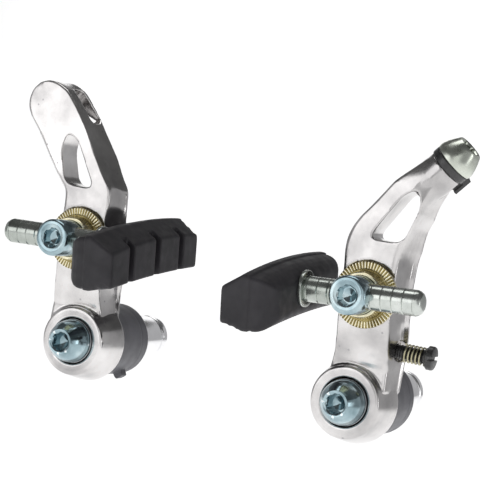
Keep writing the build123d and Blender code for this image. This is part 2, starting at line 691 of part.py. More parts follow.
def main():
    """Builds every piece and writes one STEP file for each."""
    os.makedirs("parts", exist_ok=True)
    pieces = {
        "right_anchor_washer": build_anchor_washer(),
        "right_anchor_bolt": build_anchor_bolt(),
        "right_tension_screw": build_tension_screw(),
        "right_screw_washer": build_screw_washer(),
        "right_screw_spring": build_screw_spring(),
    }
    for side, prefix in ((-1, "left_"), (1, "right_")):
        for name, part in side_parts(side).items():
            pieces[prefix + name] = part
    for name, part in pieces.items():
        part.label = name
        export_step(part, "parts/" + name + ".step")


main()
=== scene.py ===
"""A pair of cantilever rim-brake arms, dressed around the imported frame. Lengths in the helpers are in mm."""
import math

import bmesh
import bpy
from mathutils import Matrix, Vector


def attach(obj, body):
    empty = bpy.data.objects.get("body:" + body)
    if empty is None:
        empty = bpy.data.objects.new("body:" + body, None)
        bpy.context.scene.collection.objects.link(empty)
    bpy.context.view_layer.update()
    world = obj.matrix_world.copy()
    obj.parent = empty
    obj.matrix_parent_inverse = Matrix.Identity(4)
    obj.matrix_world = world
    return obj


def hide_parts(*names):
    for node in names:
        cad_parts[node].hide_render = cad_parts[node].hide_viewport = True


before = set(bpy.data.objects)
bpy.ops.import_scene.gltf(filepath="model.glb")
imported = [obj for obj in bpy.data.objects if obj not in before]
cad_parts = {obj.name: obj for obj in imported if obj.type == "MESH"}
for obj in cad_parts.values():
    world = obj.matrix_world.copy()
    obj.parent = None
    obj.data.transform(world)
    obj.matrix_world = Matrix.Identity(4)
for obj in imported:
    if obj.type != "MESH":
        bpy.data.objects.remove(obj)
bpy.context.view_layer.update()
MM = 0.001
VOXEL = 0.26
COVER_VOXEL = 0.2
CLAW_VOXEL = 0.16

# ---------------------------------------------------------------- dimensions, in mm and degrees
# Most repeat the CAD's; the arms' outlines are adjusted here. Lists of pairs are (x, z) points, but (z, y)
# for FRONT and REAR and (z, scale) for FLARE. A key of -1 is the left side and 1 the right.
PIVOT_X, EYE_X, EYE_Z, POST_Y = 43.44, 45.4, 30.0, -39.0
TILT = {-1: -2.0, 1: -3.3}
PAD_PITCH = 7.8
PAD_SHIFT = {-1: 0.0, 1: -1.9}
PAD_ENDS = (-60.5, -8.0)
PAD_ARCH, PAD_HOLLOW = 1.4, 0.7
PAD_BACK = 32.4
PAD_SLOTS, PAD_SLOT_HALF = (-48.4, -33.5, -19.1), 1.5
PLATE_X = 26.2
POST_END, POST_R, POST_HOLE_R = 64.5, 3.5, 3.56
SOCKET_FLATS = 5.0
TEETH = 60
SIDES = ((-1, "left_"), (1, "right_"))
INNER = [(36.4, 4.0), (37.5, 10.2), (38.2, 14.0), (38.4, 21.0), (38.2, 35.3), (37.7, 41.2), (38.2, 45.6)]
OUTER = [(53.2, 4.4), (52.5, 14.0), (51.9, 21.6), (51.7, 29.0), (51.8, 36.8), (52.3, 43.0)]
TOP_INNER = {
    1: [(39.9, 49.8), (42.9, 53.9), (46.2, 58.6), (49.9, 63.9), (54.4, 69.0)],
    -1: [(40.6, 49.2), (44.2, 54.2), (50.3, 63.8), (56.6, 71.2), (59.3, 73.2), (62.1, 74.3), (64.6, 74.5)],
}
TOP_OUTER = {
    1: [(54.2, 49.2), (56.5, 55.4), (58.9, 60.6), (61.9, 65.0)],
    -1: [(54.4, 46.0), (57.4, 49.6), (63.8, 58.1), (68.6, 63.8), (69.9, 67.6), (69.2, 71.2), (67.2, 73.6)],
}
FRONT = [(2, -26.6), (10, -26.6), (12.5, -27.4), (16, -28.5), (24, -30.0), (36, -30.8), (48, -31.0),
         (60, -30.5), (78, -30.0)]
REAR = [(2, -18.4), (8, -18.2), (14, -17.8), (19, -18.4), (24, -20.2), (36, -21.8), (48, -22.0), (60, -21.2),
        (78, -20.4)]
FLARE = {
    1: [(2, 0.5), (14, 0.75), (22, 1.0), (44, 1.0), (50, 0.68), (56, 0.68), (60, 0.7), (65, 0.35)],
    -1: [(2, 0.5), (14, 0.75), (22, 1.0), (32, 0.95), (42, 0.5), (48, 0.52), (54, 0.68), (62, 0.40),
         (74, 0.32)],
}
WINDOW = [(43.2, 45.2), (52.9, 45.2), (56.2, 55.6), (54.8, 60.2), (51.0, 58.2)]
ANCHOR, ANCHOR_LEAN = (60.0, -25.4, 67.2), 41.5
NECK_R, NECK_BLEND = 5.4, 12.5
CLAW_ANGLE = 40
SCREW_Y, SCREW_Z = -21.0, 15.8
HOOK, HOOK_LEAN = (-53.4, -23.6, 69.2), 48.0


# ---------------------------------------------------------------- materials
def tree(name):
    """A new material, its node tree and its Principled shader."""
    made = bpy.data.materials.new(name)
    made.use_nodes = True
    return made, made.node_tree, made.node_tree.nodes["Principled BSDF"]


def noise_node(nt, scale, detail, stretch=(1, 1, 1)):
    """Noise over object coordinates in metres, stretched along one axis if asked."""
    coords = nt.nodes.new("ShaderNodeTexCoord")
    mapping = nt.nodes.new("ShaderNodeMapping")
    mapping.inputs["Scale"].default_value = stretch
    node = nt.nodes.new("ShaderNodeTexNoise")
    node.inputs["Scale"].default_value = scale
    node.inputs["Detail"].default_value = detail
    nt.links.new(coords.outputs["Object"], mapping.inputs["Vector"])
    nt.links.new(mapping.outputs["Vector"], node.inputs["Vector"])
    return node.outputs[0]


def spread(nt, value, low, high, start=0.3, end=0.7):
    """Maps a noise value from start..end to low..high."""
    node = nt.nodes.new("ShaderNodeMapRange")
    node.inputs["From Min"].default_value = start
    node.inputs["From Max"].default_value = end
    node.inputs["To Min"].default_value = low
    node.inputs["To Max"].default_value = high
    nt.links.new(value, node.inputs["Value"])
    return node.outputs["Result"]


def ramp(nt, value, stops):
    """A colour ramp with (position, rgb) stops."""
    node = nt.nodes.new("ShaderNodeValToRGB")
    while len(node.color_ramp.elements) < len(stops):
        node.color_ramp.elements.new(0.5)
    for element, (at, rgb) in zip(node.color_ramp.elements, stops):
        element.position = at
        element.color = (*rgb, 1)
    nt.links.new(value, node.inputs["Fac"])
    return node.outputs["Color"]


def bump(nt, shader, parts):
    """Chains bumps of (height value, strength, distance in mm) into the shader's normal."""
    last = None
    for value, strength, distance in parts:
        node = nt.nodes.new("ShaderNodeBump")
        node.inputs["Strength"].default_value = strength
        node.inputs["Distance"].default_value = distance * MM
        nt.links.new(value, node.inputs["Height"])
        if last is not None:
            nt.links.new(last, node.inputs["Normal"])
        last = node.outputs["Normal"]
    nt.links.new(last, shader.inputs["Normal"])


def metal(name, stops, rough, scale=90, brushed=(1, 1, 1), grain=900, grain_depth=0.01, dents=0.02, edge=None):
    """A metal with cloudy colour, uneven roughness and fine grain; its convex edges can get a painted
    reflection colour.
    """
    made, nt, shader = tree(name)
    shader.inputs["Metallic"].default_value = 1.0
    cloud = noise_node(nt, scale, 5)
    colour = ramp(nt, cloud, stops)
    if edge is not None:
        # painted reflection: convex edges (high pointiness) take the edge colour, dark on the alloy as painted
        # shade and bright on the zinc parts as painted highlight
        geometry = nt.nodes.new("ShaderNodeNewGeometry")
        painted_edge_reflection_mask = spread(nt, geometry.outputs["Pointiness"], 0.0, 1.0, 0.545, 0.62)
        mix = nt.nodes.new("ShaderNodeMix")
        mix.data_type = "RGBA"
        nt.links.new(painted_edge_reflection_mask, mix.inputs["Factor"])
        nt.links.new(colour, mix.inputs[6])
        mix.inputs[7].default_value = (*edge, 1)
        colour = mix.outputs[2]
    nt.links.new(colour, shader.inputs["Base Color"])
    nt.links.new(spread(nt, noise_node(nt, scale * 2.3, 6), rough[0], rough[1]), shader.inputs["Roughness"])
    fine = noise_node(nt, grain, 3, brushed)
    wave = noise_node(nt, scale * 1.4, 2)
    bump(nt, shader, ((fine, 0.35, grain_depth), (wave, 0.5, dents)))
    return made


def soft(name, stops, rough, scale, grain, depth, specular=0.5):
    """Rubber or plastic: speckled colour, uneven sheen and a moulded grain."""
    made, nt, shader = tree(name)
    shader.inputs["Specular IOR Level"].default_value = specular
    nt.links.new(ramp(nt, noise_node(nt, scale, 6), stops), shader.inputs["Base Color"])
    nt.links.new(spread(nt, noise_node(nt, scale * 3, 5), rough[0], rough[1]), shader.inputs["Roughness"])
    coarse = noise_node(nt, grain / 5, 3)
    bump(nt, shader, ((noise_node(nt, grain, 4), 0.5, depth), (coarse, 0.3, depth * 4)))
    return made


M = {
    "alloy": metal("polished_alloy",
                   [(0.28, (0.42, 0.41, 0.41)), (0.5, (0.62, 0.605, 0.60)), (0.72, (0.80, 0.785, 0.78))],
                   # the last colour, (0.36, 0.35, 0.36), is painted shade: a dark reflection laid along the
                   # rounded edges
                   (0.12, 0.26), 85, (1, 1, 0.12), 1500, 0.006, 0.20, (0.36, 0.35, 0.36)),
    "stud": metal("bright_steel", [(0.3, (0.80, 0.80, 0.81)), (0.7, (0.90, 0.90, 0.91))], (0.08, 0.20),
                  120, (1, 14, 1), 900, 0.006, 0.01),
    "plate": metal("plain_plate", [(0.3, (0.62, 0.62, 0.63)), (0.7, (0.76, 0.76, 0.77))], (0.28, 0.42), 150),
    "washer": metal("grey_washer", [(0.3, (0.36, 0.38, 0.40)), (0.7, (0.50, 0.52, 0.54))], (0.25, 0.40), 150),
    "blue": metal("blue_zinc",
                  [(0.30, (0.18, 0.26, 0.29)), (0.52, (0.34, 0.45, 0.49)), (0.72, (0.57, 0.68, 0.70))],
                  # the last colour, (0.80, 0.88, 0.90), is a painted highlight along the convex edges
                  (0.10, 0.24), 160, (1, 1, 1), 1200, 0.008, 0.03, (0.80, 0.88, 0.90)),
    "yellow": metal("yellow_zinc",
                    [(0.30, (0.42, 0.37, 0.22)), (0.52, (0.60, 0.54, 0.34)), (0.72, (0.78, 0.73, 0.52))],
                    # the last colour, (0.92, 0.88, 0.72), is a painted highlight along the convex edges
                    (0.20, 0.34), 260, (1, 1, 1), 1500, 0.01, 0.02, (0.92, 0.88, 0.72)),
    "post": metal("grey_zinc",
                  [(0.30, (0.34, 0.37, 0.34)), (0.52, (0.48, 0.51, 0.48)), (0.72, (0.64, 0.67, 0.64))],
                  (0.16, 0.30), 130, (12, 1, 1), 900, 0.008, 0.03),
    "wire": metal("spring_wire", [(0.3, (0.26, 0.25, 0.21)), (0.7, (0.52, 0.49, 0.38))], (0.22, 0.38), 300),
    "olive": metal("olive_wire", [(0.3, (0.34, 0.32, 0.20)), (0.7, (0.62, 0.58, 0.42))], (0.20, 0.34), 400),
    "nickel": metal("bright_nickel", [(0.3, (0.50, 0.53, 0.47)), (0.7, (0.70, 0.73, 0.66))], (0.18, 0.32), 150),
    "brass": metal("turned_brass", [(0.3, (0.62, 0.48, 0.22)), (0.7, (0.78, 0.63, 0.34))], (0.22, 0.36), 200),
    "plastic": soft("cover_plastic", [(0.3, (0.085, 0.085, 0.095)), (0.7, (0.125, 0.125, 0.14))], (0.42, 0.58),
                    120, 1800, 0.012),
    "rubber": soft("shoe_rubber", [(0.3, (0.014, 0.013, 0.016)), (0.7, (0.028, 0.026, 0.031))], (0.46, 0.66),
                   110, 1600, 0.014, 0.42),
    "black": soft("black_oxide", [(0.3, (0.012, 0.012, 0.013)), (0.7, (0.03, 0.03, 0.03))], (0.22, 0.42),
                  260, 2200, 0.006, 0.7),
}


# ---------------------------------------------------------------- mesh helpers
def finish_mesh(bm, name, material, sharp=35.0):
    """Turns a bmesh in mm into an object in metres, smooth but for its sharp edges."""
    bmesh.ops.remove_doubles(bm, verts=bm.verts, dist=0.0005)
    bmesh.ops.recalc_face_normals(bm, faces=bm.faces)
    bmesh.ops.scale(bm, vec=(MM, MM, MM), verts=bm.verts)
    mesh = bpy.data.meshes.new(name)
    bm.to_mesh(mesh)
    bm.free()
    mesh.shade_smooth()
    mesh.set_sharp_from_angle(angle=math.radians(sharp))
    if material is not None:
        mesh.materials.append(M[material])
    made = bpy.data.objects.new(name, mesh)
    bpy.context.scene.collection.objects.link(made)
    return made


def add_rings(bm, rings, closed=False, capped=True):
    """Skins rings of points, which all have the same count, and closes the ends."""
    made = [[bm.verts.new(p) for p in ring] for ring in rings]
    count = len(made[0])
    pairs = list(zip(made, made[1:] + made[:1])) if closed else list(zip(made, made[1:]))
    for a, b in pairs:
        for i in range(count):
            j = (i + 1) % count
            bm.faces.new((a[i], a[j], b[j], b[i]))
    if not closed and capped:
        bm.faces.new(made[0][::-1])
        bm.faces.new(made[-1])


def eased(profile, size, steps=3, loop=False):
    """Rounds the corners of a list of (a, r) points; size is the most that a corner loses."""
    points = []
    count = len(profile)
    for i in range(count):
        if not loop and i in (0, count - 1):
            points.append(profile[i])
            continue
        p0, p1, p2 = Vector(profile[i - 1]), Vector(profile[i]), Vector(profile[(i + 1) % count])
        cut = min(size, 0.45 * (p1 - p0).length, 0.45 * (p2 - p1).length)
        if cut < 1e-4:
            points.append(profile[i])
            continue
        start = p1 + (p0 - p1).normalized() * cut
        end = p1 + (p2 - p1).normalized() * cut
        for k in range(steps + 1):
            t = k / steps
            points.append(tuple(start * (1 - t) ** 2 + p1 * 2 * t * (1 - t) + end * t * t))
    return points


def turned_rings(profile, count, shape=None):
    """Rings about the Y axis from (y, r) points; shape(angle, y, r) may move a point."""
    rings = []
    for y, r in profile:
        ring = []
        for i in range(count):
            angle = 2 * math.pi * i / count
            yy, rr = shape(angle, y, r) if shape else (y, r)
            ring.append((rr * math.cos(angle), yy, rr * math.sin(angle)))
        rings.append(ring)
    return rings


def hexagon(flats, angle):
    """The radius of a hexagon at an angle."""
    sector = math.pi / 3
    return flats / 2 / math.cos((angle + sector / 2) % sector - sector / 2)


def at_pivot(side):
    return Matrix.Translation(Vector((side * PIVOT_X, 0, 0)) * MM)


def at_eye(side):
    """The clamp's own frame: its axis along Y through the eye bolt, tilted as it is clamped."""
    moved = Matrix.Translation(Vector((side * EYE_X, 0, EYE_Z)) * MM)
    return moved @ Matrix.Rotation(math.radians(TILT[side]), 4, "Y")


def at_shoe(side):
    """The shoe's frame: the clamp's, pitched about the post."""
    pivot = Matrix.Translation(Vector((0, POST_Y, 0)) * MM)
    slid = Matrix.Translation(Vector((side * PAD_SHIFT[side], POST_Y, 0)) * MM)
    return at_eye(side) @ slid @ Matrix.Rotation(math.radians(PAD_PITCH), 4, "X") @ pivot.inverted()


def along_x(y, z, side=1):
    """Takes a piece turned about Y to a line along X through (y, z)."""
    return Matrix.Translation(Vector((0, y, z)) * MM) @ Matrix.Rotation(-math.pi / 2 * side, 4, "Z")


def at_anchor():
    """The anchor bolt's frame: a piece turned about Y gets its axis along the arm's end."""
    lean = Matrix.Rotation(math.radians(ANCHOR_LEAN), 4, "Y")
    return Matrix.Translation(Vector(ANCHOR) * MM) @ lean @ Matrix.Rotation(math.pi / 2, 4, "X")


def put(made, matrix, body, slot, *nodes):
    """Places a piece, rides it on its body and lets it stand for its CAD nodes."""
    made.data.transform(matrix)
    made.data.update()
    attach(made, body)
    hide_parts(*nodes)


def turned(name, material, profile, count, ease, shape=None, closed=False, sharp=35.0):
    """A piece turned about Y from (y, r) points; an r of zero closes an end."""
    bm = bmesh.new()
    add_rings(bm, turned_rings(eased(profile, ease, loop=closed), count, shape), closed)
    return finish_mesh(bm, name, material, sharp)


def bore(start, end, radius, count, matrix):
    """A round cutter between two y values, moved to its place."""
    cutter = turned("cutter", None, [(start, 0), (start, radius), (end, radius), (end, 0)], count, 0)
    cutter.data.transform(matrix)
    return cutter


def catmull(points, count):
    """A smooth line through points, resampled evenly."""
    pts = [Vector(p) for p in points]
    pts = [pts[0] * 2 - pts[1]] + pts + [pts[-1] * 2 - pts[-2]]
    dense = []
    for p0, p1, p2, p3 in zip(pts, pts[1:], pts[2:], pts[3:]):
        for k in range(24):
            t = k / 24
            dense.append(0.5 * (2 * p1 + (p2 - p0) * t + (2 * p0 - 5 * p1 + 4 * p2 - p3) * t * t
                                + (3 * p1 - p0 - 3 * p2 + p3) * t ** 3))
    dense.append(pts[-2])
    runs = [0.0]
    for a, b in zip(dense, dense[1:]):
        runs.append(runs[-1] + (b - a).length)
    out, j = [], 0
    for i in range(count):
        want = runs[-1] * i / (count - 1)
        while j < len(runs) - 2 and runs[j + 1] < want:
            j += 1
        share = (want - runs[j]) / max(runs[j + 1] - runs[j], 1e-9)
        out.append(dense[j].lerp(dense[j + 1], min(max(share, 0), 1)))
    return out


def level(line, z):
    """The height-to-y line read at z, smoothly."""
    if z <= line[0][0]:
        return line[0][1]
    for (z0, y0), (z1, y1) in zip(line, line[1:]):
        if z <= z1:
            t = (z - z0) / (z1 - z0)
            return y0 + (y1 - y0) * t * t * (3 - 2 * t) * 0.4 + (y1 - y0) * t * 0.6
    return line[-1][1]


def prism(outline, y0, y1):
    """A closed prism along Y over (x, z) points, as a cutter in mm."""
    bm = bmesh.new()
    add_rings(bm, [[(x, y, z) for x, z in outline] for y in (y0, y1)])
    return finish_mesh(bm, "cutter", None)


def circle(x, z, r, count=64):
    """The (x, z) points of a circle."""
    turns = [2 * math.pi * i / count for i in range(count)]
    return [(x + r * math.cos(t), z + r * math.sin(t)) for t in turns]


def cut(made, cutters):
    """Subtracts temporary cutters, then removes them."""
    for cutter in cutters:
        modifier = made.modifiers.new("cut", "BOOLEAN")
        modifier.operation = "DIFFERENCE"
        modifier.solver = "MANIFOLD"
        modifier.object = cutter
        bake(made)
        bpy.data.objects.remove(cutter)


def resharpen(made, degrees):
    """Smooths a cut piece's shading again, but for its sharp edges."""
    made.data.shade_smooth()
    made.data.set_sharp_from_angle(angle=math.radians(degrees))


def join(objects):
    """Joins meshes into the first one."""
    bm = bmesh.new()
    for o in objects:
        bm.from_mesh(o.data)
    bm.to_mesh(objects[0].data)
    bm.free()
    for o in objects[1:]:
        bpy.data.objects.remove(o)
    return objects[0]


def bake(made):
    """Applies every modifier on a piece."""
    evaluated = made.evaluated_get(bpy.context.evaluated_depsgraph_get())
    mesh = bpy.data.meshes.new_from_object(evaluated)
    made.modifiers.clear()
    made.data = mesh


def soften(made, voxel, passes, material):
    """Fuses what overlaps, rounds the edges and leaves one smooth skin."""
    remesh = made.modifiers.new("fuse", "REMESH")
    remesh.mode = "VOXEL"
    remesh.voxel_size = voxel * MM
    bake(made)
    smooth = made.modifiers.new("round", "SMOOTH")
    smooth.factor = 0.5
    smooth.iterations = passes
    bake(made)
    made.data.shade_smooth()
    made.data.materials.clear()
    made.data.materials.append(M[material])


# ---------------------------------------------------------------- arms
def necked(point, side):
    """Draws the end of the right arm in to its round neck; other points stay."""
    if side < 0:
        return point
    lean = math.radians(ANCHOR_LEAN)
    axis = Vector((math.sin(lean), 0.0, math.cos(lean)))
    offset = Vector(point) - Vector(ANCHOR)
    along = offset.dot(axis)
    radial = offset - axis * along
    share = min(1.0, max(0.0, (along + NECK_BLEND) / NECK_BLEND))
    length, inside = radial.length, 5.38
    if length > inside:
        radial *= (length + (inside - length) * share) / length
    return Vector(ANCHOR) + axis * along + radial


def arm_strip(side):
    """The arm's web: rounded, flared cross-sections along the line between its two edges."""
    stations = 110
    inner = catmull(INNER + TOP_INNER[side], stations)
    outer = catmull(OUTER + TOP_OUTER[side], stations)
    bm = bmesh.new()
    rings = []
    # each entry: how far it stands proud, its share of the depth from front to rear, and an extra depth
    edge = [(1.4, 1.0, 0.0), (3.5, 1.0, -0.05), (3.75, 1.0, -0.35), (3.6, 1.0, -0.8), (2.7, 0.84, 0.0),
            (1.9, 0.70, 0.0), (1.45, 0.52, 0.0), (1.2, 0.30, 0.0), (0.95, 0.0, 1.0), (0.6, 0.0, 0.45),
            (0.1, 0.0, 0.12), (-0.6, 0.0, 0.0)]
    for a, b in zip(inner, outer):
        across = (a - b).normalized()
        ring = []
        for sign, start, order in ((1, a, edge), (-1, b, edge[::-1])):
            for proud, share, extra in order:
                flare = level(FLARE[side], start[1])
                point = start + across * sign * proud * flare
                front, rear = level(FRONT, point[1]), level(REAR, point[1])
                if share == 0.0:
                    y = front + extra
                else:
                    y = front + (rear - front) * share + extra
                ring.append(necked((side * point[0], y, point[1]), side))
            if sign > 0:
                middle = (a + b) / 2
                ring.append((side * middle[0], level(FRONT, middle[1]) - 0.22, middle[1]))
        middle = (a + b) / 2
        ring.append((side * middle[0], level(REAR, middle[1]) - 0.3, middle[1]))
        rings.append(ring)
    add_rings(bm, rings)
    return finish_mesh(bm, "web", None)


def screw_and_anchor_cutters():
    """The right arm's cover pocket, stepped screw bore, trimmed end and clearance for the claw."""
    left, right, low, high = PIVOT_X - 2.4, PIVOT_X + 6.8, 10.6, 19.2
    cutters = [prism([(left, low), (right, low), (right, high), (left, high)], -23.4, -5)]
    screw_line = along_x(SCREW_Y, SCREW_Z)
    cutters += [bore(44.0, 80.0, 2.1, 48, screw_line), bore(53.5, 80.0, 2.8, 48, screw_line)]
    cutters.append(bore(0, 14, 14, 64, at_anchor()))
    clearance = [(-3.0, 6.0), (-3.0, 14), (1, 14), (1, NECK_R), (0, NECK_R)]
    cutters.append(turned("cutter", None, clearance, 64, 0, closed=True))
    cutters[-1].data.transform(at_anchor())
    return cutters


def cable_seat_cutter():
    """The left arm's waisted slot for the cable's nipple, through its end."""
    lean = math.radians(HOOK_LEAN)
    half_length, bulge, half_width, depth, count = 4.2, 2.275, 2.3, 7, 48
    slot = []
    for t in (2 * math.pi * i / count for i in range(count)):
        end = half_length if math.cos(t) > 0 else -half_length
        slot.append((bulge * math.cos(t) + end, half_width * math.sin(t)))
    bm = bmesh.new()
    add_rings(bm, [[(u, v, w) for u, v in slot] for w in (-depth, depth)])
    seat = finish_mesh(bm, "cutter", None)
    axes = Matrix(((-math.cos(lean), 0, math.sin(lean), 0), (0, -1, 0, 0),
                   (math.sin(lean), 0, math.cos(lean), 0), (0, 0, 0, 1)))
    seat.data.transform(Matrix.Translation(Vector(HOOK) * MM) @ axes)
    return seat


def build_arm(side, prefix):
    """One arm: the web with its holes, fused with the boss and, on the right, the anchor's neck."""
    web = arm_strip(side)
    pivot, eye = (side * PIVOT_X, 0), (side * EYE_X, EYE_Z)
    window = eased([(side * x, z) for x, z in WINDOW], 3.0, 6, loop=True)
    cutters = [prism(window, -40, -10), prism(circle(*eye, 3.2), -40, -10), prism(circle(*pivot, 6.4), -40, -5),
               prism(circle(*pivot, 11.1), -18.6, -5), prism(circle(*eye, 9.3), -40, -30.3),
               prism(circle(*eye, 6.7), -22.0, -10)]
    pieces = [web]
    if side > 0:
        cutters += screw_and_anchor_cutters()
        neck = [(-10, 0), (-10, 4.6), (-9, 5.0), (-4.4, NECK_R), (0, NECK_R), (0, 0)]
        pieces.append(turned("neck", None, neck, 96, 0.3))
        pieces[-1].data.transform(at_anchor())
    else:
        cutters.append(cable_seat_cutter())
    cut(web, cutters)
    boss = [(-27.4, 5.0), (-27.4, 6.9), (-28.8, 6.9), (-29.0, 7.1), (-29.0, 9.4), (-28.85, 9.8),
            (-28.4, 10.1), (-19.2, 12.15), (-18.8, 12.15), (-18.6, 11.9), (-18.6, 9.4), (-14.0, 9.4),
            (-14.0, 6.0), (-11.5, 6.0), (-11.5, 5.0)]
    pieces.append(turned("boss", None, boss, 128, 0, closed=True))
    pieces[-1].data.transform(at_pivot(side))
    made = join(pieces)
    soften(made, VOXEL, 6, "alloy")
    made.name = prefix + "arm_skin"
    put(made, Matrix(), prefix + "arm", "arm_alloy", prefix + "arm")


# ---------------------------------------------------------------- pivots
def socket(front, depth):
    """The (y, r) points from a head's rim down a hexagon socket to its drill point."""
    flat, floor = SOCKET_FLATS / 2, front + depth
    return [(front + 0.25, flat * 1.13), (front + 0.6, flat * 1.0), (floor, flat * 1.0), (floor, 1.9),
            (floor + 0.9, 0.35), (floor + 1.0, 0.0)]


def socket_shape(front, depth):
    """Makes the socket's walls six-sided and leaves the rest round."""
    def shape(angle, y, r):
        if y >= front + 0.5 and abs(r - SOCKET_FLATS / 2) < 0.02 and y <= front + depth + 0.01:
            return y, hexagon(SOCKET_FLATS, angle)
        return y, r
    return shape


def build_pivot(side, prefix):
    """The pivot's bolt, thrust washer, stud, anchor plate and bush."""
    place = at_pivot(side)
    front, depth = -35.7, 3.4
    head = [(-12.5, 0.0), (-12.5, 2.6), (-13.0, 3.0), (-28.8, 3.0), (-28.8, 6.2), (-28.95, 6.35),
            (-29.9, 6.35), (-30.3, 6.2), (-31.6, 5.95), (-33.0, 5.45), (-34.2, 4.75), (-35.1, 4.05),
            (-35.55, 3.75), (front, 3.6), (front, 3.3)]
    head += socket(front, depth)
    bolt = turned(prefix + "pivot_bolt_skin", "blue", head, 96, 0.0, socket_shape(front, depth), sharp=28)
    put(bolt, place, "frame_side", "blue_zinc", prefix + "pivot_bolt")
    washer = [(-27.6, 3.05), (-27.6, 6.5), (-28.8, 6.5), (-28.8, 3.05)]
    put(turned(prefix + "thrust_washer_skin", "washer", washer, 96, 0.2, closed=True), place,
        "frame_side", "washer_steel", prefix + "thrust_washer")
    stud = [(-11.5, 0.0), (-11.5, 3.02), (-27.6, 3.02), (-27.6, 4.0), (0, 4.0), (0, 6.5), (0.3, 6.74),
            (15.2, 6.74), (15.5, 6.5), (15.6, 6.04), (16.7, 6.04), (16.8, 6.5), (17.1, 6.74), (19.2, 6.74),
            (19.9, 6.4), (20.2, 5.9), (20.3, 5.2), (20.3, 2.6), (19.9, 2.3), (19.0, 0.0)]
    put(turned(prefix + "stud_skin", "stud", stud, 128, 0.08, sharp=40), place,
        "frame_side", "stud_steel", prefix + "pivot_stud")
    plate = [(-1.0, 4.02), (-1.0, 10.2), (0.0, 10.2), (0.0, 4.02)]
    put(turned(prefix + "plate_skin", "plate", plate, 128, 0.2, closed=True), place,
        "frame_side", "anchor_plate_alloy", prefix + "anchor_plate")
    bush = [(-27.5, 4.05), (-27.5, 5.0), (-11.5, 5.0), (-11.5, 4.05)]
    put(turned(prefix + "bush_skin", "brass", bush, 96, 0.15, closed=True), place,
        prefix + "arm", "bush_brass", prefix + "bush")


def build_cover(side, prefix):
    """The spring's cover: a cup with a tab on the left one and the screw's finger on the right one."""
    front = -13.86 if side > 0 else -14.0
    cup = [(-18.45, 9.55), (-18.45, 10.55), (-18.2, 10.8), (-5.4, 10.8), (-5.1, 10.6), (-4.8, 10.8),
           (-1.4, 10.8), (-1.15, 10.55), (-1.15, 9.5), (-11.9, 9.5), (-11.9, 6.06), (front, 6.06),
           (front, 9.55)]
    cover = turned(prefix + "cover_skin", None, cup, 128, 0.0, closed=True)
    if side > 0:
        left, right, high, rear = 1.4, 4.8, 17.9, -12.0
        for low, y in ((8.0, front), (13.0, -22.6)):
            outline = eased([(left, low), (right, low), (right, high), (left, high)], 0.4, 3, True)
            cover = join([cover, prism(outline, y, rear)])
    else:
        tab = prism(eased([(9.8, -1.6), (12.8, -1.3), (12.8, 1.3), (9.8, 1.6)], 0.6, 3, True), -10.0, -7.0)
        tab.data.transform(Matrix.Rotation(math.radians(55), 4, "Y"))
        cover = join([cover, tab])
    soften(cover, COVER_VOXEL, 3, "plastic")
    body = "right_spring_adjuster" if side > 0 else "left_arm"
    put(cover, at_pivot(side), body, "cover_plastic", prefix + "spring_cover")


def helix_tube(name, material, radius, wire, start, length, turns, hand, legs=()):
    """A round wire wound about Y, with straight legs of (which end, y) if asked."""
    count, around = int(turns * 40), 14
    path = []
    for i in range(count + 1):
        t = i / count
        angle = math.pi / 2 + hand * 2 * math.pi * turns * t
        path.append(Vector((radius * math.cos(angle), start + length * t, radius * math.sin(angle))))
    for end, y in legs:
        tip = path[0] if end == 0 else path[-1]
        leg = [Vector((tip.x, tip.y + (y - tip.y) * k / 4, tip.z)) for k in (1, 2, 3, 4)]
        path = leg[::-1] + path if end == 0 else path + leg
    bm = bmesh.new()
    rings = []
    for i, p in enumerate(path):
        ahead = (path[min(i + 1, len(path) - 1)] - path[max(i - 1, 0)]).normalized()
        out = Vector((p.x, 0, p.z)).normalized()
        up = ahead.cross(out).normalized()
        out = up.cross(ahead).normalized()
        rings.append([p + (out * math.cos(a) + up * math.sin(a)) * wire
                      for a in (2 * math.pi * k / around for k in range(around))])
    add_rings(bm, rings)
    return finish_mesh(bm, name, material, 60)


